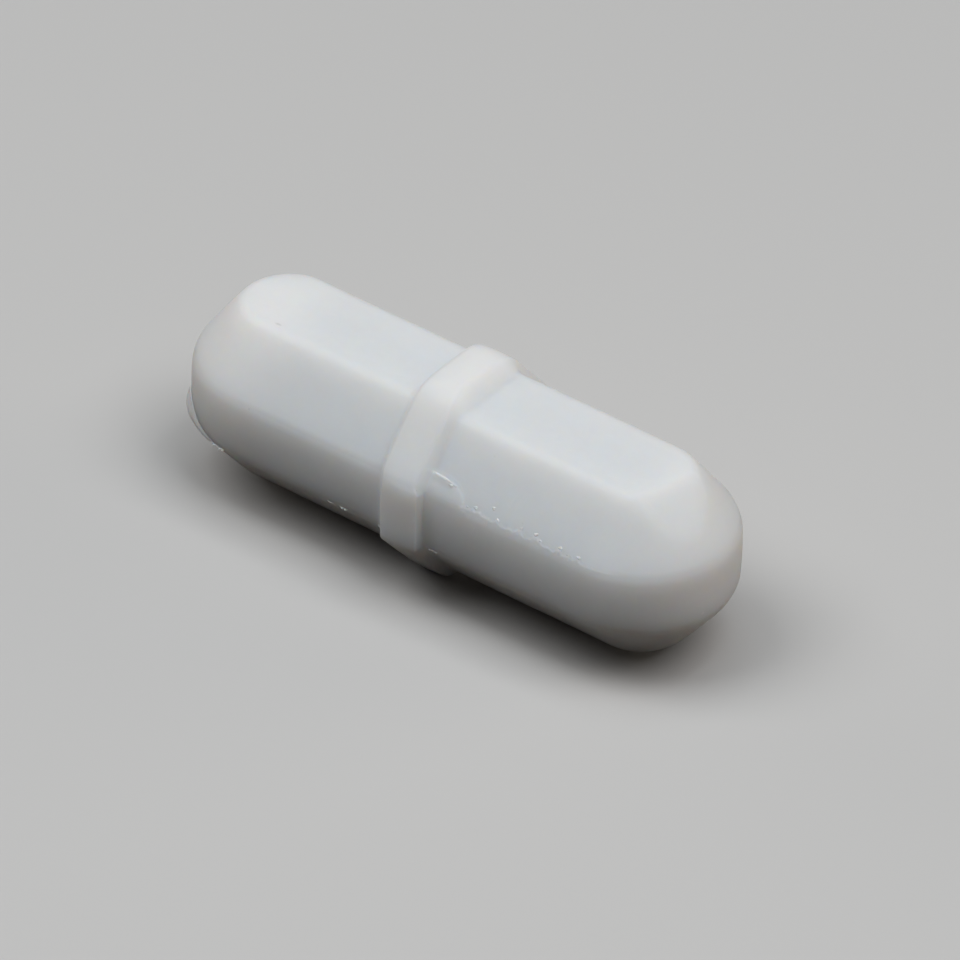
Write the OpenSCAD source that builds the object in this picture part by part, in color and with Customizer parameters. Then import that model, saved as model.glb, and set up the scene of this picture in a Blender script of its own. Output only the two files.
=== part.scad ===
// Magnetic stir bar with a pivot ring: a rod magnet sealed in a white moulded fluoropolymer jacket.
//
// The jacket is pressed between an upper punch, a die with upright walls and a lower punch.
// The die gives the upright band that runs round both sides and both noses, and the two punches give
// the sloped shoulders, the top and bottom flats and the ring. Thin flash stands where the tools met.
//
// X runs along the bar, Z is up, and the origin is the lowest point of the ring, under mid-length.

/* [Bar] */
// Overall length from nose to nose
bar_len = 24.8; // [18:0.1:50]
// Width across the two upright sides
bar_w = 8; // [7:0.1:12]
// Height from the bottom flat to the top flat
bar_h = 7.5; // [6.8:0.1:11]
// Height of the upright band, between the two parting lines
band_h = 2.8; // [1.6:0.1:4]
// Width of the top and bottom flats
flat_w = 3.7; // [2.5:0.1:5]
// Softening radius of the flats' long edges
edge_r = 0.45; // [0.1:0.05:0.8]
// Softening radius of the parting edges, where the shoulders meet the band
parting_r = 0.85; // [0.1:0.05:1.2]

/* [Pivot ring] */
// Diameter of the ring
ring_d = 9; // [8.6:0.1:13]
// Width of the ring along the bar
ring_w = 1.65; // [1:0.05:3]
// Distance of the ring's middle from mid-length
ring_shift = 0.1; // [-0.4:0.05:0.4]
// Softening radius of the ring's two rims
ring_rim_r = 0.28; // [0.05:0.01:0.4]
// Radius of the fillet where the ring's walls meet the bar
ring_root_r = 0.3; // [0.1:0.05:0.5]

/* [Side lands] */
// Width of the upright land on each side of the ring
land_w = 1.8; // [1.2:0.05:3.5]
// How far a land stands out from the band
land_out = 0.5; // [0.2:0.05:1]
// Distance of the lands' middle from mid-length
land_shift = 0.1; // [-0.6:0.05:0.6]
// Softening radius of a land's upright edges
land_edge_r = 0.15; // [0.05:0.05:0.2]

/* [Moulding flash] */
// Thickness of the flash along the upper parting line
flash_t = 0.1; // [0.06:0.01:0.2]
// How far the ragged flash stands out from that line
flash_out = 0.14; // [0.05:0.01:0.3]
// Length of the ragged flash, which runs on round the nose
flash_len = 6.9; // [2:0.1:8]
// Gap between the side land and the start of that flash
flash_gap = 1.6; // [0.1:0.05:2]
// Distance between two teeth of the ragged flash
flash_pitch = 0.3; // [0.2:0.05:1]
// Thickness of the lip at the foot of the far nose
lip_t = 0.1; // [0.06:0.01:0.2]
// How far that lip stands out from the nose
lip_out = 0.16; // [0.05:0.01:0.3]
// Height of the lip at its peak
lip_h = 1.25; // [0.3:0.05:2]
// Angle that the lip covers round the nose
lip_sweep = 92; // [20:1:150]
// Angle from the bar's axis to the lip's peak, towards the -Y side
lip_aim = 35; // [0:1:60]
// Length of the flake of flash beside the ring
flake_len = 1.85; // [0.4:0.05:3]
// Height of that flake up the shoulder, where it meets the ring
flake_rise = 0.95; // [0.3:0.05:1.4]
// Thickness of the flake
flake_t = 0.15; // [0.05:0.01:0.2]

/* [Magnet] */
// Diameter of the rod magnet
magnet_d = 5; // [3:0.1:5.4]
// Length of the rod magnet
magnet_len = 17; // [10:0.1:20]
// Distance of the magnet's middle from mid-length
magnet_shift = 0.9; // [-1:0.05:1]
// Chamfer on the magnet's two end edges
magnet_chamfer = 0.4; // [0.1:0.05:0.8]
// Clearance all round the magnet in its cavity
cavity_gap = 0.02; // [0.01:0.01:0.1]

/* [Hidden] */

nose_r = bar_w / 2;             // each nose is half round in plan
nose_x = bar_len / 2 - nose_r;  // where the straight sides end
ring_r = ring_d / 2;
axis_z = ring_r;                // height of the bar's axis over the ring's lowest point
corner_steps = 5;               // flats that make up each softened corner
round_fn = 96;                  // roundness of the preview, the exact solids are true curves
bite = 0.1;                     // how deep an added fin or fillet starts under the surface
ring_core_r = magnet_d / 2 + bite;  // the ring's profile starts here, buried in the bar

ptfe_white = [0.93, 0.94, 0.94];
alnico_grey = [0.36, 0.36, 0.38];

// ---- Softened outlines ----

// Unit vector of v.
function unit(v) = v / norm(v);

// Angle of v, from 0 to 360.
function heading(v) = (atan2(v.y, v.x) + 360) % 360;

// Points of an arc of radius r that rounds the corner at p between the neighbours a and b.
function soft_corner(a, p, b, r) =
    let (
        u = unit(a - p),
        v = unit(b - p),
        half = acos(u * v) / 2,
        c = p + unit(u + v) * r / sin(half),
        from = p + u * r / tan(half) - c,
        to = p + v * r / tan(half) - c,
        turn = (heading(to) - heading(from) + 540) % 360 - 180
    )
    [for (i = [0 : corner_steps]) let (h = heading(from) + turn * i / corner_steps) c + r * [cos(h), sin(h)]];

// A closed outline with the corner at each point rounded by the radius at the same place in radii.
function softened(pts, radii) =
    let (n = len(pts))
    [for (i = [0 : n - 1])
        each radii[i] > 0 ? soft_corner(pts[(i + n - 1) % n], pts[i], pts[(i + 1) % n], radii[i]) : [pts[i]]];

// Right half of the bar's eight-sided section, from the bottom of its middle line to the top.
half_section = softened(
    [
        [0, -bar_h / 2],
        [flat_w / 2, -bar_h / 2],
        [bar_w / 2, -band_h / 2],
        [bar_w / 2, band_h / 2],
        [flat_w / 2, bar_h / 2],
        [0, bar_h / 2],
    ],
    [0, edge_r, parting_r, parting_r, edge_r, 0]
);

// The whole section: the half and its mirror image.
full_section = concat(
    half_section,
    [for (i = [len(half_section) - 2 : -1 : 1]) [-half_section[i].x, half_section[i].y]]
);

// ---- Jacket ----

// Straight eight-sided length between the two noses.
module straight_length() {
    rotate([90, 0, 90])
        linear_extrude(2 * nose_x, center = true)
            polygon(full_section);
}

// Nose at the +X end: half a turn of half the bar's section.
module nose() {
    translate([nose_x, 0, 0])
        rotate([0, 0, -90])
            rotate_extrude(angle = 180, $fn = round_fn)
                polygon(half_section);
}

// Pivot ring: softened rims outside, and walls that flare into the bar at their roots.
module ring() {
    flat_r = bar_h / 2;
    root = ring_w / 2 + ring_root_r;
    steps = [0 : corner_steps];
    // Quarter fillet from the bar's flat up to the ring's wall, on the side of sign s.
    function root_arc(s) = [for (i = steps) let (h = 90 * i / corner_steps)
        [flat_r + ring_root_r * (1 - sin(90 - h)), s * (root - ring_root_r * sin(h))]];
    // Quarter round of the rim, from the wall to the ring's outer face.
    function rim_arc(s) = [for (i = steps) let (h = 90 * i / corner_steps)
        [ring_r - ring_rim_r * (1 - sin(h)), s * (ring_w / 2 - ring_rim_r * (1 - cos(h)))]];
    function reversed(list) = [for (i = [len(list) - 1 : -1 : 0]) list[i]];
    translate([ring_shift, 0, 0])
        rotate([0, 90, 0])
            rotate_extrude($fn = round_fn)
                polygon(concat(
                    [[ring_core_r, -root]],
                    root_arc(-1), rim_arc(-1), reversed(rim_arc(1)), reversed(root_arc(1)),
                    [[ring_core_r, root]]
                ));
}

// Upright lands that the die leaves on both sides of the ring, as tall as the band.
module side_lands() {
    x = land_w / 2;
    y = bar_w / 2 + land_out;
    translate([land_shift, 0, 0])
        linear_extrude(band_h, center = true)
            polygon(softened([[-x, -y], [x, -y], [x, y], [-x, y]], [for (i = [0 : 3]) land_edge_r]));
}

// Thin lip that the lower punch leaves at the foot of the -X nose. It stands off the band on a low foot, and a
// slanted cut lets its top edge rise from the foot at both ends to the peak between them.
module nose_lip() {
    lip_r = nose_r + lip_out;
    slant = atan2(lip_h - lip_t, lip_r * (1 - cos(lip_sweep / 2)));
    profile = [
        [nose_r - parting_r, 0],
        [lip_r, 0],
        [lip_r, lip_h],
        [lip_r - lip_t, lip_h],
        [lip_r - lip_t, lip_t],
        [nose_r - parting_r, lip_t],
    ];
    translate([-nose_x, 0, -band_h / 2])
        rotate([0, 0, 180 + lip_aim])
            difference() {
                rotate([0, 0, -lip_sweep / 2])
                    rotate_extrude(angle = lip_sweep, $fn = round_fn)
                        polygon(profile);
                translate([lip_r, 0, lip_h])
                    rotate([0, -slant, 0])
                        translate([-2 * lip_r, -lip_r, 0])
                            cube([3 * lip_r, 2 * lip_r, 2 * lip_h]);
            }
}

// Ragged fin of flash along the upper parting line on the -Y side, between the ring and the +X nose.
module ragged_flash() {
    start = land_shift + land_w / 2 + flash_gap;
    teeth = floor(flash_len / flash_pitch);
    // Point at this place along the parting line, moved out of it by out. Past nose_x the place is arc length.
    function beside(place, out) =
        let (turn = max(place - nose_x, 0) / nose_r * 180 / PI)
        [min(place, nose_x), 0] + (nose_r + out) * [sin(turn), -cos(turn)];
    // Reach of one tooth: a slow swell along the fin with a quick up-and-down on top.
    function reach(i) = flash_out * (0.45 + 0.3 * sin(i * 47) + 0.25 * sin(i * 131)) * sin(180 * (i + 0.5) / (teeth + 1));
    translate([0, 0, band_h / 2 - flash_t / 2])
        linear_extrude(flash_t)
            polygon(concat(
                [for (i = [teeth : -1 : 0]) beside(start + i * flash_pitch, -parting_r / 2)],
                [for (i = [0 : teeth]) beside(start + i * flash_pitch, reach(i))]
            ));
}

// Flake of flash that lies on the shoulder. It is highest at the ring's wall, and its top edge falls away from
// there in a quarter of a superellipse.
module flash_flake() {
    run = (bar_w - flat_w) / 2;
    rise = (bar_h - band_h) / 2;
    steps = 10;
    fullness = 3.2;
    function top(t) = flake_rise * sqrt(1 - pow(t, fullness));
    translate([ring_shift + ring_w / 2, -bar_w / 2, band_h / 2])
        rotate([atan2(rise, run), 0, 0])
            translate([0, 0, -bite])
                linear_extrude(bite + flake_t)
                    polygon(concat(
                        [[-ring_rim_r, 0], [-ring_rim_r, flake_rise]],
                        [for (i = [0 : steps]) [flake_len * i / steps, top(i / steps)]]
                    ));
}

// Closed cavity that the magnet fills.
module cavity() {
    rod(magnet_d / 2 + cavity_gap, magnet_len + 2 * cavity_gap);
}

module jacket() {
    color(ptfe_white)
        translate([0, 0, axis_z])
            difference() {
                union() {
                    straight_length();
                    nose();
                    mirror([1, 0, 0]) nose();
                    ring();
                    side_lands();
                    nose_lip();
                    ragged_flash();
                    flash_flake();
                }
                cavity();
            }
}

// ---- Magnet ----

// Rod along X with chamfered ends, in the magnet's place.
module rod(r, length) {
    h = length / 2;
    translate([magnet_shift, 0, 0])
        rotate([0, 90, 0])
            rotate_extrude($fn = round_fn)
                polygon([[0, -h], [r - magnet_chamfer, -h], [r, -h + magnet_chamfer],
                    [r, h - magnet_chamfer], [r - magnet_chamfer, h], [0, h]]);
}

module magnet() {
    color(alnico_grey)
        translate([0, 0, axis_z])
            rod(magnet_d / 2, magnet_len);
}

jacket();
magnet();
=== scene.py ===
"""Looks of the magnetic stir bar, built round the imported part.

The bar lies along X with its axis AXIS_Z over the floor. Shapes are worked out in millimetres in the
part's own frame, and MM turns them into metres when a mesh is made.
"""

import math

import bpy
import numpy as np
from mathutils import Matrix, Vector


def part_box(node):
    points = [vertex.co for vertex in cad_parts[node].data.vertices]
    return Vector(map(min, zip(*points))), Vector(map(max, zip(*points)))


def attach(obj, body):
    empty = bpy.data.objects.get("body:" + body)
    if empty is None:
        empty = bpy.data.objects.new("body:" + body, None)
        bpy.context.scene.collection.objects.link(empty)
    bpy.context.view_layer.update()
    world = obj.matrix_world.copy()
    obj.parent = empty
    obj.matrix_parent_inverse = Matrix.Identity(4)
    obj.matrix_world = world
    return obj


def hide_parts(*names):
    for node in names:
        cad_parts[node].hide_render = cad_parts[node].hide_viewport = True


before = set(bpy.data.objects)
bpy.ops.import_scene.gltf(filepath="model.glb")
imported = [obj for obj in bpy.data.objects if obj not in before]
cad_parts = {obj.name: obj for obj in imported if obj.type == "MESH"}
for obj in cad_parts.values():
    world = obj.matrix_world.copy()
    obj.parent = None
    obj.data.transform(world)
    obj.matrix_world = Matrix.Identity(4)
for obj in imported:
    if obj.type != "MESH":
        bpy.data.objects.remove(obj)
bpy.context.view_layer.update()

MM = 0.001  # metres in a millimetre

# ---- The bar's own measures, in millimetres ----
low, high = (np.array(corner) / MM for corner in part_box("jacket"))
RING_R = (high[2] - low[2]) / 2       # the ring is the tallest thing on the bar
AXIS_Z = low[2] + RING_R
NOSE_TIP = high[0]                    # the +X nose is clean, the -X nose carries a lip
LAND_Y = high[1]                      # outer face of the side lands
LAND_OUT = 0.5                        # how far the side lands stand out from the upright band
FLAT_DROP = 0.25                      # how much nearer the axis the flats lie than the band
HALF_W = LAND_Y - LAND_OUT            # half the width across the upright band
HALF_H = HALF_W - FLAT_DROP           # half the height between the two flats
HALF_FLAT = 1.88                      # half the width of a flat
BAND_TOP, BAND_FOOT = 1.22, 1.4       # how far the upright band reaches above and below the axis
NOSE_X = NOSE_TIP - HALF_W            # where the straight sides end
FLAT_REACH = 0.2                      # how much further out the flats' noses are centred
EDGE_R = 0.6                          # softening of the flats' long edges
PARTING_R = 0.9                       # softening of the two parting edges
BAND_CROWN = 0.1                      # how much the band swells from its edges to its middle
FLAT_DISH = 0.02                      # how much the flats sink between their long edges
NOSE_PINCH = 0.05                     # how much the band is pulled in at the tips of the noses
UNEVEN = 0.012                        # how much the moulded skin wavers

# ---- The ring, eight-sided too, in millimetres ----
RING_FLAT, RING_BAND = 1.74, 1.44     # half the width of its flats, and half the height of its upright faces
RING_EDGE_R = 1.7                     # softening of its flats' edges
RING_PARTING_R = 1.2, 0.7             # and of its upright faces' upper and lower edges
RING_CROWN = 0.03                     # how much its faces swell between the walls
RING_SWELL = 0.03                     # and how much its upright faces swell from their edges to the waist
RING_LEFT, RING_RIGHT = -0.94, 0.93   # its two walls over the flats and the shoulders
LEFT_LEAN, RIGHT_LEAN = 15, 34        # how far they lean in, in degrees
LEFT_ROOT, RIGHT_ROOT = 0.42, 0.3     # softening of their roots
RING_RIM = 0.22                       # and of their rims
LAND_LEFT, LAND_RIGHT = -0.85, 1.0    # the walls beside the upright faces
LAND_LEAN = 35                        # how far the left one leans in: the right one is steep and sharp
LAND_RIM, LAND_ROOT = 0.09, 0.07      # softening of the rims there, and of the right wall's root

# ---- Flash, pits and rubs, in millimetres ----
SHOULDER = np.array([HALF_W - BAND_CROWN - HALF_FLAT, HALF_H - BAND_TOP])
SHOULDER = SHOULDER / np.linalg.norm(SHOULDER)   # inward and upward share of a step up the shoulder
FLAKE_LEN, FLAKE_RISE, FLAKE_T = 1.85, 0.95, 0.12   # length, height and thickness of the flake by the ring
FLAKE_ROLL, ROLL_HOLLOW = 0.05, 0.008               # height of its rolled edge, and depth of the hollow below
FLASH_T, FLASH_LUMP = 0.03, 0.045     # thickness of the ragged flash, and the swell of its free edge
FLASH_END = 9.6                       # where the ragged flash dies out round the +X nose
LOBES = (                             # place of each broader lobe of that flash, and how far it reaches up
    (3.24, 0.14), (3.55, 0.1), (4.35, 0.1), (5.04, 0.05), (5.46, 0.15),
    (6.15, 0.2), (6.4, 0.1), (7.31, 0.16), (8.18, 0.13), (8.79, 0.06),
)
CRUMBS = (                            # place, rise up the shoulder and radius of each loose crumb
    (2.0, 0.68, 0.09), (2.95, 0.2, 0.06), (3.3, 0.3, 0.09), (4.04, 0.58, 0.09),
    (4.4, 0.22, 0.08), (5.46, 0.34, 0.07), (6.15, 0.36, 0.1), (6.42, 0.22, 0.06),
    (7.33, 0.3, 0.09), (7.7, 0.18, 0.05), (8.2, 0.26, 0.09),
)
PIT, PIT_SIZE = np.array([RING_RIGHT - 0.02, -4.3, 1.5]), 0.08   # small sink mark where ring and land meet
PIT_DEPTH, PIT_LIP = 0.09, 0.05       # how deep it is, and how high the plastic stands beside it
FACET_AIM, FACET_PITCH = 16, 50       # where the rubbed facet on the +X nose faces, in degrees
FACET_OUT, FACET_UP = 2.85, 2.55      # its distance from the nose's centre in plan, and over the axis
FACET_DEPTH, FACET_EASE = 0.13, 0.1   # how much is rubbed away, and the softening of its border

# ---- The magnet's cavity, in millimetres ----
magnet_low, magnet_high = (np.array(corner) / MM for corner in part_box("magnet"))
CAVITY_GAP = 0.02                     # clearance all round the magnet
CAVITY_R = (magnet_high[2] - magnet_low[2]) / 2 + CAVITY_GAP
CAVITY_ENDS = magnet_low[0] - CAVITY_GAP, magnet_high[0] + CAVITY_GAP
CAVITY_CHAMFER = 0.4                  # bevel at the cavity's two ends


# ------------------------------------------------------------------ mesh helpers

def unit(vectors):
    """Each vector over its own length."""
    return vectors / np.maximum(np.linalg.norm(vectors, axis=-1, keepdims=True), 1e-12)


def smooth(x):
    """Eases from 0 at 0 to 1 at 1: three x squared less two x cubed."""
    x = np.clip(x, 0, 1)
    return x * x * (3 - 2 * x)


def quads(rows, columns, wrap=False):
    """Corner numbers of the cells of a grid whose point (i, j) is number i * columns + j.
    With wrap the last column joins the first."""
    i = np.arange(rows - 1)[:, None]
    j = np.arange(columns if wrap else columns - 1)[None, :]
    k = (j + 1) % columns
    return np.stack([i * columns + j, i * columns + k, (i + 1) * columns + k, (i + 1) * columns + j],
                    axis=-1).reshape(-1, 4)


def welded(points, faces):
    """Points that fall on each other become one, and a face loses its repeated corners.
    Gives the kept points and the faces as lists."""
    keys = np.round(points * 1e5).astype(np.int64)
    _, first, inverse = np.unique(keys, axis=0, return_index=True, return_inverse=True)
    faces = inverse.reshape(-1)[faces]
    whole = (faces != np.roll(faces, -1, axis=1)).all(axis=1)
    kept = faces[whole].tolist()
    for corners in faces[~whole].tolist():
        open_ring = [c for c, d in zip(corners, corners[1:] + corners[:1]) if c != d]
        if len(set(open_ring)) == len(open_ring) > 2:
            kept.append(open_ring)
    return points[first], kept


def make_piece(name, points, faces, material):
    """A smooth-shaded mesh object that rides with the bar, from points in millimetres."""
    mesh = bpy.data.meshes.new(name)
    mesh.from_pydata((points * MM).tolist(), [], faces)
    mesh.polygons.foreach_set("use_smooth", np.ones(len(mesh.polygons), bool))
    mesh.validate()
    mesh.update()
    mesh.materials.append(material)
    piece = bpy.data.objects.new(name, mesh)
    bpy.context.scene.collection.objects.link(piece)
    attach(piece, "root")
    return piece


def shell(mid, half):
    """A thin closed sheet: its two faces lie half to either side of the surface mid, along the cross product
    of the surface's two directions, and a rim joins them. mid is a grid of points and half a grid of
    lengths."""
    along, across = np.gradient(mid, axis=0), np.gradient(mid, axis=1)
    normal = unit(np.cross(along, across))
    rows, columns = half.shape
    upper = mid + normal * half[..., None]
    lower = mid - normal * half[..., None]
    points = np.concatenate([upper.reshape(-1, 3), lower.reshape(-1, 3)])
    cells = quads(rows, columns)
    number = np.arange(rows * columns).reshape(rows, columns)
    rim = np.concatenate([number[0, :-1], number[:-1, -1], number[-1, :0:-1], number[:0:-1, 0]])
    after = np.roll(rim, -1)
    below = rows * columns
    sides = np.stack([rim, after, after + below, rim + below], axis=-1)
    return points, np.concatenate([cells[:, ::-1], cells + below, sides])


def outward(points, faces):
    """Turns every face over if the closed surface holds a negative volume: the volume is a sixth of the
    summed triple products of each triangle's corners."""
    volume = 0.0
    for a, b in ((1, 2), (2, 3)):
        volume += np.einsum("ij,ij->i", points[faces[:, 0]],
                            np.cross(points[faces[:, a]], points[faces[:, b]])).sum()
    return faces if volume > 0 else faces[:, ::-1]


# ------------------------------------------------------------------ the jacket's section

def corner_arc(before, corner, after, radius, count):
    """Points of the arc that rounds a corner. Its centre lies on the bisector, radius over the sine of half
    the angle away, and the points turn evenly from one side's tangent point to the other's."""
    before, corner, after = (np.array(p, float) for p in (before, corner, after))
    u, v = unit(before - corner), unit(after - corner)
    half = math.acos(float(u @ v)) / 2
    centre = corner + unit(u + v) * radius / math.sin(half)
    start = corner + u * radius / math.tan(half) - centre
    stop = corner + v * radius / math.tan(half) - centre
    first, last = math.atan2(start[1], start[0]), math.atan2(stop[1], stop[0])
    turn = (last - first + math.pi) % (2 * math.pi) - math.pi
    angle = first + turn * np.linspace(0, 1, count)
    return centre + radius * np.stack([np.cos(angle), np.sin(angle)], axis=-1)


def between(a, b, count, gather=1.0):
    """Points between a and b, without either: evenly spaced, or closer towards b where gather is over 1."""
    step = 1 - (1 - np.linspace(0, 1, count + 2)[1:-1, None]) ** gather
    return np.asarray(a) + (np.asarray(b) - np.asarray(a)) * step


def eight_sided(flat, height, band, width, edge_r, parting_r):
    """The upper half of an eight-sided section with rounded corners, from its top middle down to its waist,
    as distance from the middle plane and height over the axis. flat is half the flat's width, and band is how
    far the upright face reaches up from the waist."""
    middle, flat_edge, parting, waist = (0, height), (flat, height), (width, band), (width, 0)
    edge = corner_arc(middle, flat_edge, parting, edge_r, 9)
    lip = corner_arc(flat_edge, parting, waist, parting_r, 18)
    return np.concatenate([
        [middle], between(middle, edge[0], 9), edge,
        between(edge[-1], lip[0], 32, 1.6), lip,
        between(lip[-1], waist, 9), [waist],
    ])


def swollen(section, band, swell):
    """A half section whose upright face swells outward by a parabola from its corner to its waist."""
    share = np.clip(1 - np.abs(section[:, 1:]) / band, 0, 1)
    return section + [swell, 0] * (1 - (1 - share) ** 2)


def body_section(band):
    """The body's upper half section: eight-sided, with the band's swell and the flat's dish."""
    plain = eight_sided(HALF_FLAT, HALF_H, band, HALF_W - BAND_CROWN, EDGE_R, PARTING_R)
    body = swollen(plain, band, BAND_CROWN)
    body[:, 1] -= FLAT_DISH * smooth((HALF_FLAT - 0.1 - body[:, 0]) / 0.5)
    return body


def half_lines(band, ring_parting_r):
    """The lines that run round the bar, from the top middle line down to the waist, as a dict of arrays.

    body is each line's distance from the middle plane and height over the axis on the body, and ring is the
    point it moves to on the ring, whose faces then swell by crown. left and right are the places of the
    ring's two walls at half their height, left_slope and right_slope the angles they climb at, and rim and
    root soften them, all easing to other values beside the ring's upright faces."""
    ring = eight_sided(RING_FLAT, RING_R - RING_CROWN, RING_BAND, LAND_Y - 2 * RING_CROWN - RING_SWELL,
                       RING_EDGE_R, ring_parting_r)
    ring = swollen(ring, RING_BAND, RING_SWELL)
    low_left = smooth((RING_BAND + 0.35 - ring[:, 1]) / 0.6)
    low_right = smooth((RING_BAND + 0.12 - ring[:, 1]) / 0.25)
    return {
        "body": body_section(band),
        "ring": ring,
        "left": RING_LEFT + (LAND_LEFT - RING_LEFT) * low_left,
        "right": RING_RIGHT + (LAND_RIGHT - RING_RIGHT) * low_right,
        "left_slope": np.radians(90 - LEFT_LEAN - (LAND_LEAN - LEFT_LEAN) * low_left),
        "right_slope": np.radians(90 - RIGHT_LEAN * (1 - low_right)),
        "rim": RING_RIM + (LAND_RIM - RING_RIM) * low_right,
        "left_root": np.full(len(ring), LEFT_ROOT),
        "right_root": RIGHT_ROOT + (LAND_ROOT - RIGHT_ROOT) * low_right,
        "crown": RING_CROWN * (1 + low_right),
    }


def section_lines():
    """All the lines from the top middle line to the bottom one: the upper half's, then the lower half's
    turned upside down and without a second waist."""
    upper = half_lines(BAND_TOP, RING_PARTING_R[0])
    lower = {key: value[-2::-1].copy() for key, value in half_lines(BAND_FOOT, RING_PARTING_R[1]).items()}
    lower["body"][:, 1] *= -1
    lower["ring"][:, 1] *= -1
    return {key: np.concatenate([upper[key], lower[key]]) for key in upper}


def nose_centre(reach):
    """Distance from mid-length of the centre that a line at this distance from the middle plane turns round:
    the upright band's centre, plus FLAT_REACH where the line lies in a flat, easing over the shoulder."""
    return NOSE_X + FLAT_REACH * (1 - smooth((reach - HALF_FLAT) / (HALF_W - HALF_FLAT)))


def wall(lines, side, height, arc=7):
    """One of the ring's walls, for every line, as places along the bar and heights over the body: its root's
    arc and its rim's arc, both from level to the wall's slope A.

    Between the arcs the wall climbs straight, and it passes its place at half its height. An arc of radius r
    starts r times the tangent of A / 2 beyond the wall's corner. Where the wall is too short for both arcs,
    which together take (1 - cos A) times their radii of its height, both shrink alike."""
    slope, rim, root, place = (lines[key][:, None] for key in (side + "_slope", "rim", side + "_root", side))
    toward = 1 if side == "left" else -1
    fit = np.minimum(1, height / ((1 - np.cos(slope)) * (rim + root)))
    rim, root = fit * rim, fit * root
    turn = slope * np.linspace(0, 1, arc)[None, :]
    half_run = height / 2 / np.tan(slope)
    foot = place - toward * (half_run + root * np.tan(slope / 2))
    top = place + toward * (half_run + rim * np.tan(slope / 2))
    return ((foot + toward * root * np.sin(turn), root * (1 - np.cos(turn))),
            (top - toward * rim * np.sin(turn), height - rim * (1 - np.cos(turn))))


def along_bar(lines, crown=9):
    """Place along the bar and height over the body for every line and every step along the straight side.

    A line runs level to a wall's root, climbs the wall, crosses the top, and comes down the other wall. The
    steps are closer on the +X side, where the flake and the flash lie."""
    height = np.linalg.norm(lines["ring"] - lines["body"], axis=-1)[:, None]
    left_root, left_rim = wall(lines, "left", height)
    right_root, right_rim = wall(lines, "right", height)
    end = nose_centre(lines["body"][:, 0])[:, None]
    foot, stop = left_root[0][:, :1], right_root[0][:, :1]
    top, crest = left_rim[0][:, :1], right_rim[0][:, :1]
    coming = np.linspace(0, 1, 40, endpoint=False)[None, :]
    going = np.append(np.linspace(0, 0.26, 42)[1:], np.linspace(0.26, 1, 101)[1:])[None, :]
    cross = np.linspace(0, 1, crown + 2)[None, 1:-1]
    parts = [
        (-end + (foot + end) * coming, height * 0 * coming),
        left_root,
        tuple(side[:, ::-1] for side in left_rim),
        (top + (crest - top) * cross, height + lines["crown"][:, None] * (1 - (2 * cross - 1) ** 2)),
        right_rim,
        tuple(side[:, ::-1] for side in right_root),
        (stop + (end - stop) * going, height * 0 * going),
    ]
    x, h = (np.concatenate([part[k] for part in parts], axis=1) for k in (0, 1))
    return x, h


def ripple(points, seed):
    """A slow unevenness from -1 to 1: the mean of four sine waves, each along its own direction."""
    wave = np.array([[0.9, 1.7, 1.1], [-1.3, 0.8, 2.1], [2.3, -1.9, 0.7], [0.5, 2.9, -2.2]])
    start = seed * np.array([1.0, 2.3, 3.1, 4.7])
    return np.sin(points @ wave.T + start).mean(axis=-1)


def wave(x, length, seed):
    """An uneven wave of x from -1 to 1: the mean of three sines with lengths 1, 0.61 and 0.37 of length."""
    parts = (1, 1), (0.61, 2.7), (0.37, 5.1)
    return sum(np.sin(2 * math.pi * x / (length * k) + seed * j) for k, j in parts) / 3


def bells(x, places, width):
    """The sum of bell curves: each pair in places is where one stands and how tall it is."""
    return sum(tall * np.exp(-((x - at) / width) ** 2) for at, tall in places)


def flake_top(x):
    """How far up the shoulder the flake beside the ring reaches: a quarter of a superellipse."""
    return FLAKE_RISE * np.sqrt(np.clip(1 - (np.maximum(x - RING_RIGHT, 0) / FLAKE_LEN) ** 3.2, 0, 1))


def flash_top(place):
    """How far up the shoulder the ragged flash reaches: an uneven wave with a bell curve for each lobe."""
    return 0.13 + 0.05 * wave(place, 1.3, 1.3) + 0.03 * wave(place, 0.31, 0.4) + bells(place, LOBES, 0.13)


def relief(place, rise):
    """How far the near side's shoulder and band are raised by flash that lies flat on them. place runs along
    the parting edge as in over_skin, and rise is the distance from it up the shoulder, or down the band where
    it is below zero.

    The flake swells from the parting edge up to flake_top, where its torn edge is rolled, with a hollow under
    the roll. From its end on, the ragged flash lies up the shoulder to flash_top, and its free edge
    swells."""
    under = flake_top(place) - rise
    inside = smooth(under / 0.1 + 0.4) * smooth((rise + 0.3) / 0.35)
    inside *= smooth((place - RING_RIGHT) / 0.12) * (place < RING_RIGHT + FLAKE_LEN + 0.2)
    rolled = smooth((RING_RIGHT + 1.4 - place) / 0.5)
    thick = FLAKE_T * (1 - 0.45 * smooth((place - RING_RIGHT - 0.9) / 0.9))
    raised = thick * (0.7 + 0.3 * smooth((rise + 0.1) / 0.6))
    roll = FLAKE_ROLL * np.exp(-((under - 0.14) / 0.14) ** 2)
    hollow = ROLL_HOLLOW * np.exp(-((under - 0.42) / 0.12) ** 2)
    raised = (raised + rolled * (roll - hollow)) * inside
    run = smooth((place - 2.5) / 0.4) * smooth((FLASH_END + 0.6 - place) / 1.2)
    under = flash_top(place) - rise
    strip = smooth(under / 0.14 + 0.5) * smooth((rise + 0.5) / 0.6)
    thick = FLASH_T + 0.018 * wave(place, 0.9, 0.3) + 0.018 * wave(place, 0.27, 1.7)
    lump = FLASH_LUMP + 0.03 * wave(place, 0.41, 2.2)
    return raised + run * strip * (thick + lump * np.exp(-((under - 0.06) / 0.1) ** 2))


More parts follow.
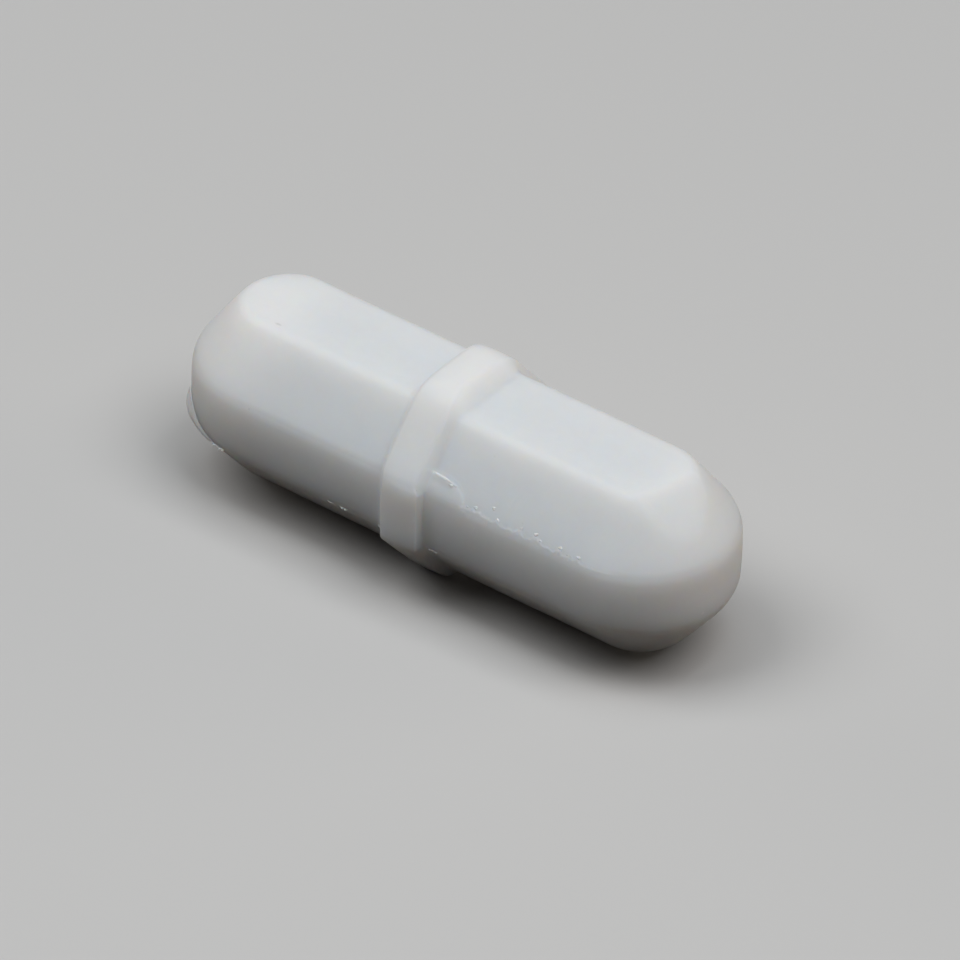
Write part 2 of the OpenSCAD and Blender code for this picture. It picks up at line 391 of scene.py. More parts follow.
def rubbed(points):
    """Presses points that stand out past the rubbed facet on the +X nose's shoulder back towards it: each
    moves against the facet's normal by h squared over h plus FACET_EASE, where h is the height it stands over
    the plane."""
    a, e = np.radians(FACET_AIM), np.radians(FACET_PITCH)
    normal = np.array([np.cos(a) * np.cos(e), -np.sin(a) * np.cos(e), np.sin(e)])
    centre = NOSE_X + FLAT_REACH / 2
    spot = np.array([centre + FACET_OUT * np.cos(a), -FACET_OUT * np.sin(a), FACET_UP])
    over = np.maximum((points - spot) @ normal + FACET_DEPTH, 0)
    return points - normal * (over ** 2 / (over + FACET_EASE))[..., None]


def jacket_skin(nose_steps=61):
    """The whole moulded outside as one closed surface.

    Its two directions are the lines of section_lines and a path round the bar in plan: along the near side,
    half a turn round the +X nose, back along the far side and half a turn round the -X nose. A line at
    distance r from the middle plane turns round the nose on a circle of radius r, and on the straight sides
    it moves from the body towards the ring by the height that along_bar gives. The near side's upper half is
    then raised by relief along the shoulder's normal, the +X nose is rubbed, a bell curve sinks the pit and
    another raises its lip, and ripple moves every point by up to UNEVEN in each direction."""
    lines = section_lines()
    body, ring = lines["body"], lines["ring"]
    x, h = along_bar(lines)
    away = unit(ring - body)
    out = body[:, None, 0] + away[:, None, 0] * h
    up = body[:, None, 1] + away[:, None, 1] * h
    near = np.stack([x, -out, up], axis=-1)
    far = np.stack([x, out, up], axis=-1)[:, ::-1]
    turn = np.linspace(-math.pi / 2, math.pi / 2, nose_steps)[None, 1:-1]
    reach = body[:, :1]
    pinch = NOSE_PINCH * np.cos(np.clip(body[:, 1:] / BAND_TOP, -1, 1) * math.pi / 2) ** 2 * np.cos(turn) ** 2
    radius = reach - pinch
    centre = nose_centre(reach)
    level = body[:, 1:] + 0 * turn
    right_nose = np.stack([centre + radius * np.cos(turn), radius * np.sin(turn), level], axis=-1)
    left_nose = np.stack([-centre - radius * np.cos(turn), -radius * np.sin(turn), level], axis=-1)

    over = body[:, 1:] - BAND_TOP
    rise = np.where(over > 0, over / SHOULDER[1], over)
    raised = relief(x, rise) * (1 - smooth(h / 0.15)) * (body[:, 1:] > 0)
    near = near + raised[..., None] * np.array([0, -SHOULDER[1], SHOULDER[0]])
    raised = relief(NOSE_X + (turn + math.pi / 2) * HALF_W, rise) * (body[:, 1:] > 0)
    aim = np.stack([SHOULDER[1] * np.cos(turn), SHOULDER[1] * np.sin(turn), SHOULDER[0] + 0 * turn], axis=-1)
    right_nose = rubbed(right_nose + raised[..., None] * aim)

    points = np.concatenate([near, right_nose, far, left_nose], axis=1)
    rows, columns = points.shape[:2]
    points = points.reshape(-1, 3)
    pit = np.exp(-(((points - PIT) / PIT_SIZE) ** 2).sum(axis=-1))
    bump = np.exp(-(((points - PIT - [0.09, -0.06, -0.13]) / PIT_SIZE) ** 2).sum(axis=-1))
    points[:, 1] += PIT_DEPTH * pit - PIT_LIP * bump
    points = points + UNEVEN * np.stack([ripple(points, s) for s in (1, 2, 3)], axis=-1)
    faces = outward(points, quads(rows, columns, wrap=True))
    return points + [0, 0, AXIS_Z], faces


def cavity_wall(around=72):
    """The closed wall of the magnet's cavity: a rod's outline with chamfered ends turned round the bar's
    axis. Its faces look into the cavity, which is out of the plastic."""
    start, stop = CAVITY_ENDS
    corners = np.array([[start, 0], [start, CAVITY_R - CAVITY_CHAMFER], [start + CAVITY_CHAMFER, CAVITY_R],
                        [stop - CAVITY_CHAMFER, CAVITY_R], [stop, CAVITY_R - CAVITY_CHAMFER], [stop, 0]])
    turn = np.linspace(0, 2 * math.pi, around, endpoint=False)[None, :]
    x, radius = corners[:, :1] + 0 * turn, corners[:, 1:]
    points = np.stack([x, radius * np.cos(turn), radius * np.sin(turn)], axis=-1).reshape(-1, 3)
    faces = outward(points, quads(len(corners), around, wrap=True))
    return points + [0, 0, AXIS_Z], faces[:, ::-1]


# ------------------------------------------------------------------ moulding flash

def section_path(band):
    """The near side's section from the waist up as a path: distance along it from the parting edge, above
    zero up the shoulder and below zero down the band, and at each point (distance from the middle plane,
    height) and the direction out of the skin."""
    path = body_section(band)[::-1]
    run = np.append(0, np.cumsum(np.linalg.norm(np.diff(path, axis=0), axis=1)))
    run = run - run[np.argmin(np.abs(path[:, 1] - band))]
    along = unit(np.gradient(path, run, axis=0))
    return run, path, np.stack([along[:, 1], -along[:, 0]], axis=-1)


def over_skin(place, rise, lift, lower=False):
    """Points at the height lift over the near side's skin. place is the distance from mid-length along the
    side, and past NOSE_X it goes on as arc length round the nose; rise is the distance from the parting edge
    as in section_path. lower turns it upside down, for the lower parting edge."""
    run, path, facing = section_path(BAND_FOOT if lower else BAND_TOP)
    out = np.interp(rise, run, path[:, 0]) + lift * np.interp(rise, run, facing[:, 0])
    up = np.interp(rise, run, path[:, 1]) + lift * np.interp(rise, run, facing[:, 1])
    turn = np.maximum(np.abs(place) - NOSE_X, 0) / HALF_W
    x = np.sign(place) * (np.minimum(np.abs(place), NOSE_X) + out * np.sin(turn))
    return np.stack([x, -out * np.cos(turn), AXIS_Z + (-up if lower else up)], axis=-1)


def ended(place, start, stop, fade):
    """1 along a stretch of the edge, easing to 0 over the length fade at both its ends."""
    return smooth((place - start) / fade) * smooth((stop - place) / fade)


def joined(parts):
    """Several closed surfaces as one set of points and faces, each turned outward."""
    points, faces, count = [], [], 0
    for part_points, part_faces in parts:
        points.append(part_points)
        faces.append(outward(part_points, part_faces) + count)
        count += len(part_points)
    return np.concatenate(points), np.concatenate(faces)


def crumb(place, rise, radius, flat=0.34):
    """A crumb half sunk in the skin: an ellipsoid whose radii are radius along the edge, 0.8 of it up
    the shoulder and flat of it out of the skin, made lumpy by a wave round it, and raised with the relief."""
    east = np.linspace(0, 2 * math.pi, 20, endpoint=False)[None, :]
    north = np.linspace(-math.pi / 2, math.pi / 2, 13)[:, None]
    size = radius * (1 + 0.18 * np.sin(3 * east + 9 * place) * np.cos(north) + 0.1 * np.sin(2 * east + place))
    size = np.where(np.abs(north) > 1.57, radius, size)
    points = over_skin(place + size * np.cos(east) * np.cos(north),
                       rise + 0.8 * size * np.sin(east) * np.cos(north),
                       relief(place, rise) + flat * size * np.sin(north))
    return points.reshape(-1, 3), quads(13, 20, wrap=True)


def flash_crumbs():
    """The loose crumbs that cling to the near side's ragged flash and to the shoulder over it."""
    return joined([crumb(*each) for each in CRUMBS])


def lower_flash():
    """Small torn bits on the near side's lower parting edge: narrow sheets that leave the edge level and
    curl, their length a wave of the place."""
    def bit(start, stop, tall, seed):
        """One such sheet between two places, at most about tall high."""
        place = np.linspace(start, stop, int(60 * (stop - start)) + 20)[:, None]
        v = np.linspace(0, 1, 10)[None, :]
        ends = ended(place, start, stop, 0.15)
        reach = tall * (0.75 + 0.5 * wave(place, 0.45, seed) + 0.25 * wave(place, 0.17, seed + 1)) * ends
        turn = 0.3 + 0.5 * wave(place, 0.8, seed)
        mid = over_skin(place, 0.02 - turn * reach * v ** 2, -0.08 + (0.08 + reach) * v, lower=True)
        return shell(mid, (0.03 - 0.018 * v ** 2) * (0.3 + 0.7 * ends))
    return joined([bit(-9.75, -8.75, 0.11, 0.7), bit(-3.75, -3.35, 0.07, 1.9), bit(-3.15, -2.65, 0.09, 2.5),
                   bit(-1.25, -0.9, 0.12, 4.2), bit(1.15, 1.7, 0.06, 3.3)])


def nose_lip():
    """The thin lip on the lower parting edge round the -X nose: a sheet that swells off the band just over
    the edge and comes back to it at its top. Its height along the edge is a bell curve."""
    turn = np.radians(np.linspace(8, 96, 130))[:, None]
    v = np.linspace(0, 1, 20)[None, :]
    bell = np.exp(-((np.degrees(turn) - 52) / 19) ** 2)
    ends = ended(np.degrees(turn), 8, 96, 14)
    tall = (0.12 + 0.83 * bell) * ends + 0.02 * wave(turn, 0.2, 1.1)
    off = -0.04 + (0.06 + 0.16 * bell) * ends * smooth(v / 0.3) * (1 - smooth((v - 0.3) / 0.85))
    mid = over_skin(-(NOSE_X + HALF_W * turn), 0.08 - (0.08 + tall) * v, off + 0.02 * v, lower=True)
    return shell(mid, (0.05 - 0.03 * v ** 3) * (0.2 + 0.8 * ends))


def torn_flake():
    """The folded top edge of the flake beside the ring: a thin roll that follows flake_top on the swell of
    the relief, thickest at its middle and tapering to both ends."""
    place = np.linspace(RING_RIGHT + 0.05, RING_RIGHT + 1.3, 110)[:, None]
    v = np.linspace(0, 1, 15)[None, :]
    ends = smooth((place - place[0]) / 0.3) * smooth((place[-1] - place) / 0.9)
    width = 0.08 + 0.16 * ends + 0.03 * wave(place, 0.5, 2.0)
    rise = flake_top(place) - 0.05 - width * (1 - v)
    lift = relief(place, rise) - 0.016 + 0.004 * wave(place, 0.7, 1.0) * v
    return shell(over_skin(place, rise, lift), 0.008 + (0.004 + 0.012 * ends) * np.sin(math.pi * v) ** 0.7)


# ------------------------------------------------------------------ materials

def node(tree, kind, place, **settings):
    """A shader node at a place in the tree, with its properties or input sockets set. A socket is named by
    its label, with spaces as underscores."""
    made = tree.nodes.new(kind)
    made.location = place
    for key, value in settings.items():
        label = key.replace("_", " ")
        if hasattr(made, key):
            setattr(made, key, value)
        else:
            made.inputs[label].default_value = value
    return made


def wire(tree, *pairs):
    """Links each output to the input that follows it."""
    for source, target in zip(pairs[::2], pairs[1::2]):
        tree.links.new(source, target)


def math_node(tree, place, operation, first, second=None):
    """A Math node on two values, each a number or an output to link."""
    made = node(tree, "ShaderNodeMath", place, operation=operation)
    for socket, value in zip(made.inputs, (first, second)):
        if isinstance(value, (int, float)):
            socket.default_value = value
        elif value is not None:
            tree.links.new(value, socket)
    return made.outputs[0]


def blended(tree, place, share, first, second):
    """The output of a Mix node between two colours, each a colour or an output to link."""
    made = node(tree, "ShaderNodeMix", place, data_type="RGBA")
    sockets = [s for s in made.inputs if s.type == "RGBA"]
    tree.links.new(share, made.inputs["Factor"])
    for socket, value in zip(sockets, (first, second)):
        if isinstance(value, tuple):
            socket.default_value = value
        else:
            tree.links.new(value, socket)
    return [s for s in made.outputs if s.type == "RGBA"][0]


def stepped(tree, place, value, start, stop, low=0.0, high=1.0):
    """The output of a Map Range node that eases from low to high as the value goes from start to stop."""
    made = node(tree, "ShaderNodeMapRange", place, interpolation_type="SMOOTHSTEP")
    for label, number in (("From Min", start), ("From Max", stop), ("To Min", low), ("To Max", high)):
        made.inputs[label].default_value = number
    tree.links.new(value, made.inputs["Value"])
    return made.outputs["Result"]


def new_group(name, inputs, outputs):
    """A shader node group with named sockets: inputs are (name, socket type, start value), outputs are
    (name, socket type). Gives the group's tree and its two end nodes."""
    tree = bpy.data.node_groups.new(name, "ShaderNodeTree")
    for label, kind, value in inputs:
        socket = tree.interface.new_socket(label, in_out="INPUT", socket_type=kind)
        if value is not None:
            socket.default_value = value
    for label, kind in outputs:
        tree.interface.new_socket(label, in_out="OUTPUT", socket_type=kind)
    return tree, node(tree, "NodeGroupInput", (-1200, 0)), node(tree, "NodeGroupOutput", (600, 0))


def build_cloudy_tone():
    """Group: a colour that drifts towards another in soft clouds of about the given size, with a finer mottle
    on top."""
    tree, start, end = new_group(
        "cloudy_tone",
        [("Vector", "NodeSocketVector", None), ("Main", "NodeSocketColor", (0.8, 0.8, 0.8, 1)),
         ("Other", "NodeSocketColor", (0.7, 0.7, 0.7, 1)), ("Size", "NodeSocketFloat", 2.0)],
        [("Color", "NodeSocketColor"), ("Clouds", "NodeSocketFloat")])
    closeness = math_node(tree, (-1000, -200), "DIVIDE", 1.0, start.outputs["Size"])
    broad = node(tree, "ShaderNodeTexNoise", (-800, 100), Detail=1.5, Roughness=0.5, Distortion=0.6)
    finer = math_node(tree, (-1000, -400), "MULTIPLY", closeness, 4.5)
    mottle = node(tree, "ShaderNodeTexNoise", (-800, -250), Detail=3.0, Roughness=0.6)
    wire(tree, start.outputs["Vector"], broad.inputs["Vector"], closeness, broad.inputs["Scale"],
         start.outputs["Vector"], mottle.inputs["Vector"], finer, mottle.inputs["Scale"])
    wide = stepped(tree, (-550, 100), broad.outputs["Fac"], 0.3, 0.7)
    small = stepped(tree, (-550, -250), mottle.outputs["Fac"], 0.35, 0.7)
    clouds = math_node(tree, (-300, 0), "ADD", math_node(tree, (-450, 0), "MULTIPLY", wide, 0.65),
                       math_node(tree, (-450, -200), "MULTIPLY", small, 0.35))
    colour = blended(tree, (0, 100), clouds, start.outputs["Main"], start.outputs["Other"])
    wire(tree, colour, end.inputs["Color"], clouds, end.inputs["Clouds"])
    return tree


def build_fine_scuffs():
    """Group: a mask of thin scratches that run roughly across the vector's X, broken into short lengths, and
    sparser where a slow noise says so."""
    tree, start, end = new_group(
        "fine_scuffs",
        [("Vector", "NodeSocketVector", None), ("Closeness", "NodeSocketFloat", 3.0),
         ("Turn", "NodeSocketVector", (0.0, 0.0, 0.0))],
        [("Mask", "NodeSocketFloat")])
    bend = node(tree, "ShaderNodeTexNoise", (-1000, -250), Scale=0.5, Detail=1.0)
    bent = node(tree, "ShaderNodeVectorMath", (-800, 0), operation="MULTIPLY_ADD")
    bent.inputs[1].default_value = (0.9, 0.9, 0.9)
    turned = node(tree, "ShaderNodeVectorRotate", (-600, 0), rotation_type="EULER_XYZ")
    drawn = node(tree, "ShaderNodeVectorMath", (-400, 0), operation="MULTIPLY")
    drawn.inputs[1].default_value = (9.0, 0.55, 0.55)
    lines = node(tree, "ShaderNodeTexNoise", (-200, 0), Detail=2.0, Roughness=0.55)
    patches = node(tree, "ShaderNodeTexNoise", (-400, -350), Scale=0.45, Detail=2.0)
    wire(tree, start.outputs["Vector"], bend.inputs["Vector"], bend.outputs["Color"], bent.inputs[0],
         start.outputs["Vector"], bent.inputs[2], bent.outputs["Vector"], turned.inputs["Vector"],
         start.outputs["Turn"], turned.inputs["Rotation"], turned.outputs["Vector"], drawn.inputs[0],
         drawn.outputs["Vector"], lines.inputs["Vector"], start.outputs["Closeness"], lines.inputs["Scale"],
         start.outputs["Vector"], patches.inputs["Vector"])
    thin = stepped(tree, (0, 0), lines.outputs["Fac"], 0.62, 0.72)
    worn = stepped(tree, (0, -350), patches.outputs["Fac"], 0.42, 0.64)
    wire(tree, math_node(tree, (250, 0), "MULTIPLY", thin, worn), end.inputs["Mask"])
    return tree


def build_skin_grain():
    """Group: the height of a fine, slightly pebbled skin with a scatter of tiny pits, and the pits' mask."""
    tree, start, end = new_group(
        "skin_grain",
        [("Vector", "NodeSocketVector", None), ("Grain", "NodeSocketFloat", 0.15),
         ("Pits", "NodeSocketFloat", 0.3)],
        [("Height", "NodeSocketFloat"), ("Pits", "NodeSocketFloat")])
    closeness = math_node(tree, (-1000, -150), "DIVIDE", 1.0, start.outputs["Grain"])
    pebble = node(tree, "ShaderNodeTexNoise", (-800, 150), Detail=4.0, Roughness=0.55)
    swell = node(tree, "ShaderNodeTexNoise", (-800, 400), Scale=1.1, Detail=1.0)
    cells = node(tree, "ShaderNodeTexVoronoi", (-800, -200), feature="F1", Scale=1.3, Randomness=1.0)
    pick = node(tree, "ShaderNodeSeparateColor", (-550, -350))
    wire(tree, start.outputs["Vector"], pebble.inputs["Vector"], closeness, pebble.inputs["Scale"],
         start.outputs["Vector"], swell.inputs["Vector"],
         start.outputs["Vector"], cells.inputs["Vector"], cells.outputs["Color"], pick.inputs["Color"])
    hole = stepped(tree, (-550, -150), cells.outputs["Distance"], 0.035, 0.085, 1.0, 0.0)
    chosen = math_node(tree, (-350, -350), "LESS_THAN", pick.outputs["Red"], start.outputs["Pits"])
    pits = math_node(tree, (-150, -200), "MULTIPLY", hole, chosen)
    pebbles = math_node(tree, (-400, 200), "MULTIPLY", pebble.outputs["Fac"], 0.5)
    even = math_node(tree, (-150, 300), "ADD", pebbles, swell.outputs["Fac"])
    wire(tree, math_node(tree, (200, 100), "SUBTRACT", even, pits), end.inputs["Height"],
         pits, end.inputs["Pits"])
    return tree


def build_speck():
    """Group: the mask of one small blemish, 1 within the radius of its place and 0 a little further out, with
    a ragged edge."""
    tree, start, end = new_group(
        "speck",
        [("Vector", "NodeSocketVector", None), ("Place", "NodeSocketVector", (0.0, 0.0, 0.0)),
         ("Stretch", "NodeSocketVector", (1.0, 1.0, 1.0)), ("Radius", "NodeSocketFloat", 0.1)],
        [("Mask", "NodeSocketFloat")])
    away = node(tree, "ShaderNodeVectorMath", (-900, 0), operation="SUBTRACT")
    shaped = node(tree, "ShaderNodeVectorMath", (-700, 0), operation="DIVIDE")
    far = node(tree, "ShaderNodeVectorMath", (-500, 0), operation="LENGTH")
    ragged = node(tree, "ShaderNodeTexNoise", (-700, -300), Scale=9.0, Detail=2.0)
    wire(tree, start.outputs["Vector"], away.inputs[0], start.outputs["Place"], away.inputs[1],
         away.outputs["Vector"], shaped.inputs[0], start.outputs["Stretch"], shaped.inputs[1],
         shaped.outputs["Vector"], far.inputs[0], start.outputs["Vector"], ragged.inputs["Vector"])
    size = math_node(tree, (-300, -100), "DIVIDE", far.outputs["Value"], start.outputs["Radius"])
    rough = math_node(tree, (-100, -100), "ADD", size, ragged.outputs["Fac"])
    wire(tree, stepped(tree, (150, 0), rough, 1.1, 1.9, 1.0, 0.0), end.inputs["Mask"])
    return tree


def use_group(tree, group, place, **values):
    """A group placed in a material, with its inputs set to numbers or colours or linked to outputs."""
    made = node(tree, "ShaderNodeGroup", place)
    made.node_tree = group
    for label, value in values.items():
        if isinstance(value, bpy.types.NodeSocket):
            tree.links.new(value, made.inputs[label])
        else:
            made.inputs[label].default_value = value
    return made.outputs


def start_material(name, **constants):
    """A material whose shader has its constant inputs set. Gives it, its tree, its shader and the place on
    the part in millimetres as an output."""
    material = bpy.data.materials.new(name)
    material.use_nodes = True
    tree = material.node_tree
    shader = tree.nodes["Principled BSDF"]
    for label, value in constants.items():
        shader.inputs[label.replace("_", " ")].default_value = value
    place = node(tree, "ShaderNodeTexCoord", (-1700, 0))
    scaled = node(tree, "ShaderNodeVectorMath", (-1500, 0), operation="SCALE", Scale=1 / MM)
    tree.links.new(place.outputs["Object"], scaled.inputs[0])
    return material, tree, shader, scaled.outputs["Vector"]


def add_bump(tree, shader, height, depth):
    """Feeds a height to the shader's normal, where a height of 1 stands depth millimetres high."""
    bump = node(tree, "ShaderNodeBump", (-300, -500), Strength=1.0, Distance=depth * MM)
    tree.links.new(height, bump.inputs["Height"])
    tree.links.new(bump.outputs["Normal"], shader.inputs["Normal"])


cloudy_tone = build_cloudy_tone()
fine_scuffs = build_fine_scuffs()
skin_grain = build_skin_grain()
speck = build_speck()

# what the whole and the torn plastic share
PLASTIC = dict(IOR=1.38, Subsurface_Weight=1.0, Subsurface_Radius=(1.0, 0.78, 0.6))


def moulded_white():
    """The jacket's fluoropolymer: cool white, slightly see-through and waxy. Its tone drifts a little, fine
    scuffs and pits roughen it, and the flats of the ring, which turn on the glass, are rubbed duller and
    warmer. Single specks: a grey nick on the top flat and a white one on the nose. The small pit where ring
    and land meet is painted dark, as painted shade in its hollow."""
    material, tree, shader, place = start_material("moulded_white", Subsurface_Scale=0.004, **PLASTIC)
    tone = use_group(tree, cloudy_tone, (-1200, 300), Vector=place, Main=(0.873, 0.878, 0.884, 1),
                     Other=(0.855, 0.858, 0.86, 1), Size=2.2)
    along = use_group(tree, fine_scuffs, (-1200, 0), Vector=place, Closeness=2.2, Turn=(0.0, 0.0, 0.35))
    across = use_group(tree, fine_scuffs, (-1200, -200), Vector=place, Closeness=1.7, Turn=(0.4, 0.0, 1.3))
    grain = use_group(tree, skin_grain, (-1200, -450), Vector=place, Grain=0.12, Pits=0.16)

    part = node(tree, "ShaderNodeSeparateXYZ", (-1200, 650))
    tree.links.new(place, part.inputs[0])
    lift = math_node(tree, (-1000, 650), "SUBTRACT", part.outputs["Z"], float(AXIS_Z))
    reach = math_node(tree, (-800, 650), "ABSOLUTE", lift)
    near_middle = stepped(tree, (-600, 800), math_node(tree, (-750, 900), "ABSOLUTE", part.outputs["X"]),
                          0.85, 1.05, 1.0, 0.0)
    crown = math_node(tree, (-400, 700), "MULTIPLY", near_middle,
                      stepped(tree, (-600, 600), reach, float(RING_R) - 0.2, float(RING_R) - 0.03))

    scuffs = math_node(tree, (-950, -100), "MAXIMUM", along["Mask"], across["Mask"])
    nick = use_group(tree, speck, (-1200, -700), Vector=place, Place=(-8.0, -1.5, float(AXIS_Z) + HALF_H),
                     Stretch=(1.5, 0.6, 1.0), Radius=0.1)["Mask"]
    # painted shade: a dark patch on the pit where ring and land meet, standing in for the shade in its hollow
    pit_shade = use_group(tree, speck, (-1200, -900), Vector=place, Place=tuple(PIT + [0, 0.05, AXIS_Z]),
                     Stretch=(1.0, 1.0, 1.0), Radius=0.07)["Mask"]
    white_spot = use_group(tree, speck, (-1200, -1100), Vector=place,
                           Place=(float(NOSE_TIP) - 0.2, -1.05, float(AXIS_Z) - 0.87),
                           Stretch=(1.0, 1.0, 1.0), Radius=0.07)["Mask"]
    dark = math_node(tree, (-900, -800), "MAXIMUM", nick,
                     math_node(tree, (-1000, -700), "MULTIPLY", grain["Pits"], 0.5))

    colour = blended(tree, (-700, 400), math_node(tree, (-850, 300), "MULTIPLY", crown, 0.7), tone["Color"],
                     (0.872, 0.864, 0.85, 1))
    colour = blended(tree, (-550, 350), math_node(tree, (-700, 200), "MULTIPLY", scuffs, 0.3), colour,
                     (0.9, 0.9, 0.895, 1))
    colour = blended(tree, (-400, 300), math_node(tree, (-550, 100), "MULTIPLY", dark, 0.3), colour,
                     (0.45, 0.45, 0.44, 1))
    # painted shade in the pit's hollow, mixed into the colour
    colour = blended(tree, (-250, 250), math_node(tree, (-400, 50), "MULTIPLY", pit_shade, 0.7), colour,
                     (0.3, 0.29, 0.28, 1))
    colour = blended(tree, (-100, 200), white_spot, colour, (0.95, 0.95, 0.95, 1))
    clouded = stepped(tree, (-700, -50), tone["Clouds"], 0.0, 1.0, 0.6, 0.67)
    scratched = math_node(tree, (-650, -150), "MULTIPLY", scuffs, 0.12)
    rough = math_node(tree, (-500, -50), "ADD", clouded, scratched)
    dulled = math_node(tree, (-500, -200), "MULTIPLY", crown, 0.06)
    rough = math_node(tree, (-350, -100), "ADD", rough, dulled)
    height = math_node(tree, (-600, -450), "SUBTRACT", grain["Height"],
                       math_node(tree, (-750, -350), "MULTIPLY", scuffs, 0.5))
    wire(tree, colour, shader.inputs["Base Color"], rough, shader.inputs["Roughness"])
    add_bump(tree, shader, height, 0.006)
    return material


def torn_white():
    """The same plastic where it is torn thin: drawn into fibres, and with the light scattered so close by
    that it looks opaque."""
    material, tree, shader, place = start_material("torn_white", Subsurface_Scale=0.0001, **PLASTIC)
    tone = use_group(tree, cloudy_tone, (-1200, 300), Vector=place, Main=(0.83, 0.83, 0.833, 1),
                     Other=(0.78, 0.78, 0.785, 1), Size=0.35)
    fibres = use_group(tree, fine_scuffs, (-1200, 0), Vector=place, Closeness=9.0, Turn=(0.0, 0.0, 1.2))
    grain = use_group(tree, skin_grain, (-1200, -300), Vector=place, Grain=0.05, Pits=0.3)
    fibrous = math_node(tree, (-700, -50), "MULTIPLY", fibres["Mask"], 0.15)
    rough = math_node(tree, (-500, -50), "ADD", fibrous, 0.56)
    height = math_node(tree, (-600, -350), "ADD", grain["Height"], fibres["Mask"])
    wire(tree, tone["Color"], shader.inputs["Base Color"], rough, shader.inputs["Roughness"])
    add_bump(tree, shader, height, 0.012)
    return material


def cast_magnet():
    """The rod magnet: dull grey cast alloy, clouded, sandy to the touch and pitted, with brighter metal in
    its grinding marks."""
    material, tree, shader, place = start_material("cast_magnet", Metallic=1.0)
    tone = use_group(tree, cloudy_tone, (-1200, 300), Vector=place, Main=(0.6, 0.6, 0.6, 1),
                     Other=(0.47, 0.47, 0.48, 1), Size=1.2)
    marks = use_group(tree, fine_scuffs, (-1200, 0), Vector=place, Closeness=2.5, Turn=(0.0, 0.0, 0.1))
    grain = use_group(tree, skin_grain, (-1200, -300), Vector=place, Grain=0.09, Pits=0.45)
    bright = math_node(tree, (-900, 200), "MULTIPLY", marks["Mask"], 0.6)
    colour = blended(tree, (-700, 300), bright, tone["Color"], (0.7, 0.7, 0.7, 1))
    sunk = math_node(tree, (-700, 150), "MULTIPLY", grain["Pits"], 0.7)
    colour = blended(tree, (-500, 250), sunk, colour, (0.1, 0.1, 0.1, 1))
    clouded = stepped(tree, (-650, 0), tone["Clouds"], 0.0, 1.0, 0.42, 0.6)
    ground = math_node(tree, (-600, -100), "MULTIPLY", marks["Mask"], 0.12)
    rough = math_node(tree, (-400, 0), "SUBTRACT", clouded, ground)
    wire(tree, colour, shader.inputs["Base Color"], rough, shader.inputs["Roughness"])
    add_bump(tree, shader, grain["Height"], 0.03)
    return material


# ------------------------------------------------------------------ the pieces

white = moulded_white()
torn = torn_white()
grey = cast_magnet()
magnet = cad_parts["magnet"]
for place in magnet.material_slots:
    place.material = grey

skin_points, skin_faces = jacket_skin()
wall_points, wall_faces = cavity_wall()
skin = make_piece("jacket_skin", *welded(np.concatenate([skin_points, wall_points]),
                                         np.concatenate([skin_faces, wall_faces + len(skin_points)])), white)
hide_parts("jacket")
for name, sheet in (("flash_crumbs", flash_crumbs()), ("lower_flash", lower_flash()),
                    ("nose_lip", nose_lip()), ("torn_flake", torn_flake())):
    make_piece(name, *welded(sheet[0], outward(*sheet)), torn)


# ------------------------------------------------------------------ floor, light and camera

def floor_paint():
    """Plain pale floor. Only the camera and mirror-like rays see it pale: to the light that it would throw up
    under the bar it is dark, as a bench top is."""
    material = bpy.data.materials.new("floor_paint")
    material.use_nodes = True
    tree = material.node_tree
    shader = tree.nodes["Principled BSDF"]
    shader.inputs["Roughness"].default_value = 0.9
    shader.inputs["Specular IOR Level"].default_value = 0.0
    path = node(tree, "ShaderNodeLightPath", (-900, 0))
    straight = math_node(tree, (-700, 0), "MAXIMUM",
                         path.outputs["Is Camera Ray"], path.outputs["Is Glossy Ray"])
    seen = math_node(tree, (-500, 0), "MAXIMUM", straight, path.outputs["Is Transmission Ray"])
    tree.links.new(blended(tree, (-300, 0), seen, (0.084, 0.076, 0.068, 1), (0.6, 0.605, 0.61, 1)),
                   shader.inputs["Base Color"])
    return material


def make_floor(size=3000):
    """A level square under the ring's lowest point."""
    half = size / 2 * MM
    mesh = bpy.data.meshes.new("floor")
    corners = [(-half, -half, 0), (half, -half, 0), (half, half, 0), (-half, half, 0)]
    mesh.from_pydata(corners, [], [(0, 1, 2, 3)])
    mesh.materials.append(floor_paint())
    floor = bpy.data.objects.new("floor", mesh)
    bpy.context.scene.collection.objects.link(floor)


def direction(azimuth, elevation):
    """Unit vector from the bar towards a place at this azimuth and elevation: azimuth 0 is in front, on the
    -Y side, and 90 is off the +X nose."""
    a, e = math.radians(azimuth), math.radians(elevation)
    return Vector((math.sin(a) * math.cos(e), -math.cos(a) * math.cos(e), math.sin(e)))


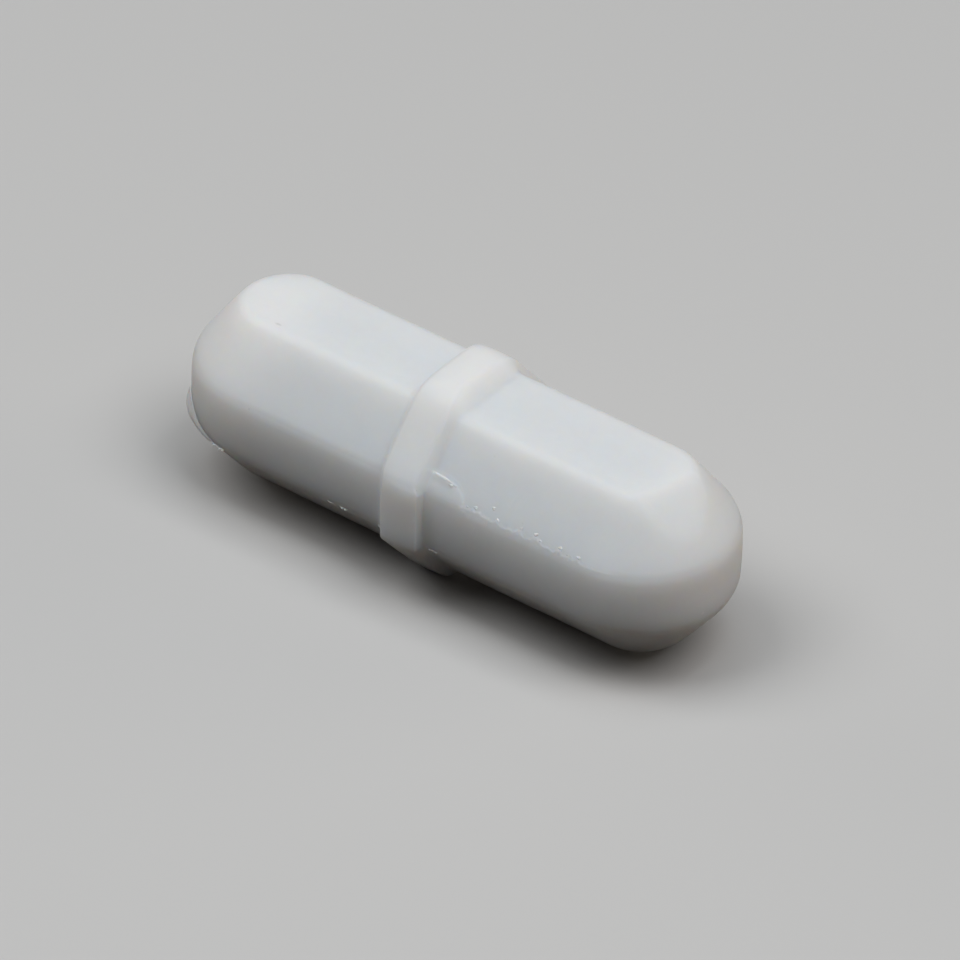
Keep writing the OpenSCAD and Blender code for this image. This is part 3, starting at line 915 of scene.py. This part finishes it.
def softbox(name, azimuth, elevation, power, colour, distance=400, size=230):
    """A square area lamp that looks at the bar's middle. Distance and size are in millimetres."""
    lamp = bpy.data.lights.new(name, "AREA")
    lamp.shape = "SQUARE"
    lamp.size = size * MM
    lamp.energy = power
    lamp.color = colour
    made = bpy.data.objects.new(name, lamp)
    toward = direction(azimuth, elevation)
    made.location = CENTRE + toward * distance * MM
    made.rotation_euler = (-toward).to_track_quat("-Z", "Y").to_euler()
    made.visible_camera = False
    bpy.context.scene.collection.objects.link(made)
    return made


CENTRE = Vector((0, 0, AXIS_Z * MM))
make_floor()
softbox("overhead", 0, 90, 0.325, (0.9, 0.965, 1.0))
softbox("front_left", -45, 60, 0.635, (1.0, 0.985, 0.965))
softbox("right_fill", 90, 62, 0.655, (1.0, 0.975, 0.955))
softbox("back_right_low", 135, 10, 0.29, (1.0, 0.87, 0.74))
softbox("left_low", -90, 10, 0.18, (1.0, 0.9, 0.8))

world = bpy.data.worlds.new("studio")
bpy.context.scene.world = world
world.use_nodes = True
world.node_tree.nodes["Background"].inputs["Color"].default_value = (1, 1, 1, 1)
world.node_tree.nodes["Background"].inputs["Strength"].default_value = 0.01


def make_camera(azimuth=35.75, elevation=37.26, roll=1.84, distance=339.16, lens=327.98, aim=(0.624, -0.752)):
    """A long lens at the viewing angle. The picture's middle is aim, in millimetres to the right of and above
    the bar's own middle in the picture, and roll lifts the right side of the camera."""
    back = direction(azimuth, elevation)
    level = Vector((math.cos(math.radians(azimuth)), math.sin(math.radians(azimuth)), 0))
    up = back.cross(level)
    turn = math.radians(roll)
    right = level * math.cos(turn) + up * math.sin(turn)
    up = back.cross(right)
    data = bpy.data.cameras.new("camera")
    data.lens = lens
    data.sensor_width = 36
    data.clip_start, data.clip_end = 0.01, 10
    camera = bpy.data.objects.new("camera", data)
    place = CENTRE + (right * aim[0] + up * aim[1] + back * distance) * MM
    camera.matrix_world = Matrix.Translation(place) @ Matrix((right, up, back)).transposed().to_4x4()
    bpy.context.scene.collection.objects.link(camera)
    bpy.context.scene.camera = camera


make_camera()
bpy.context.scene.view_settings.view_transform = "Standard"
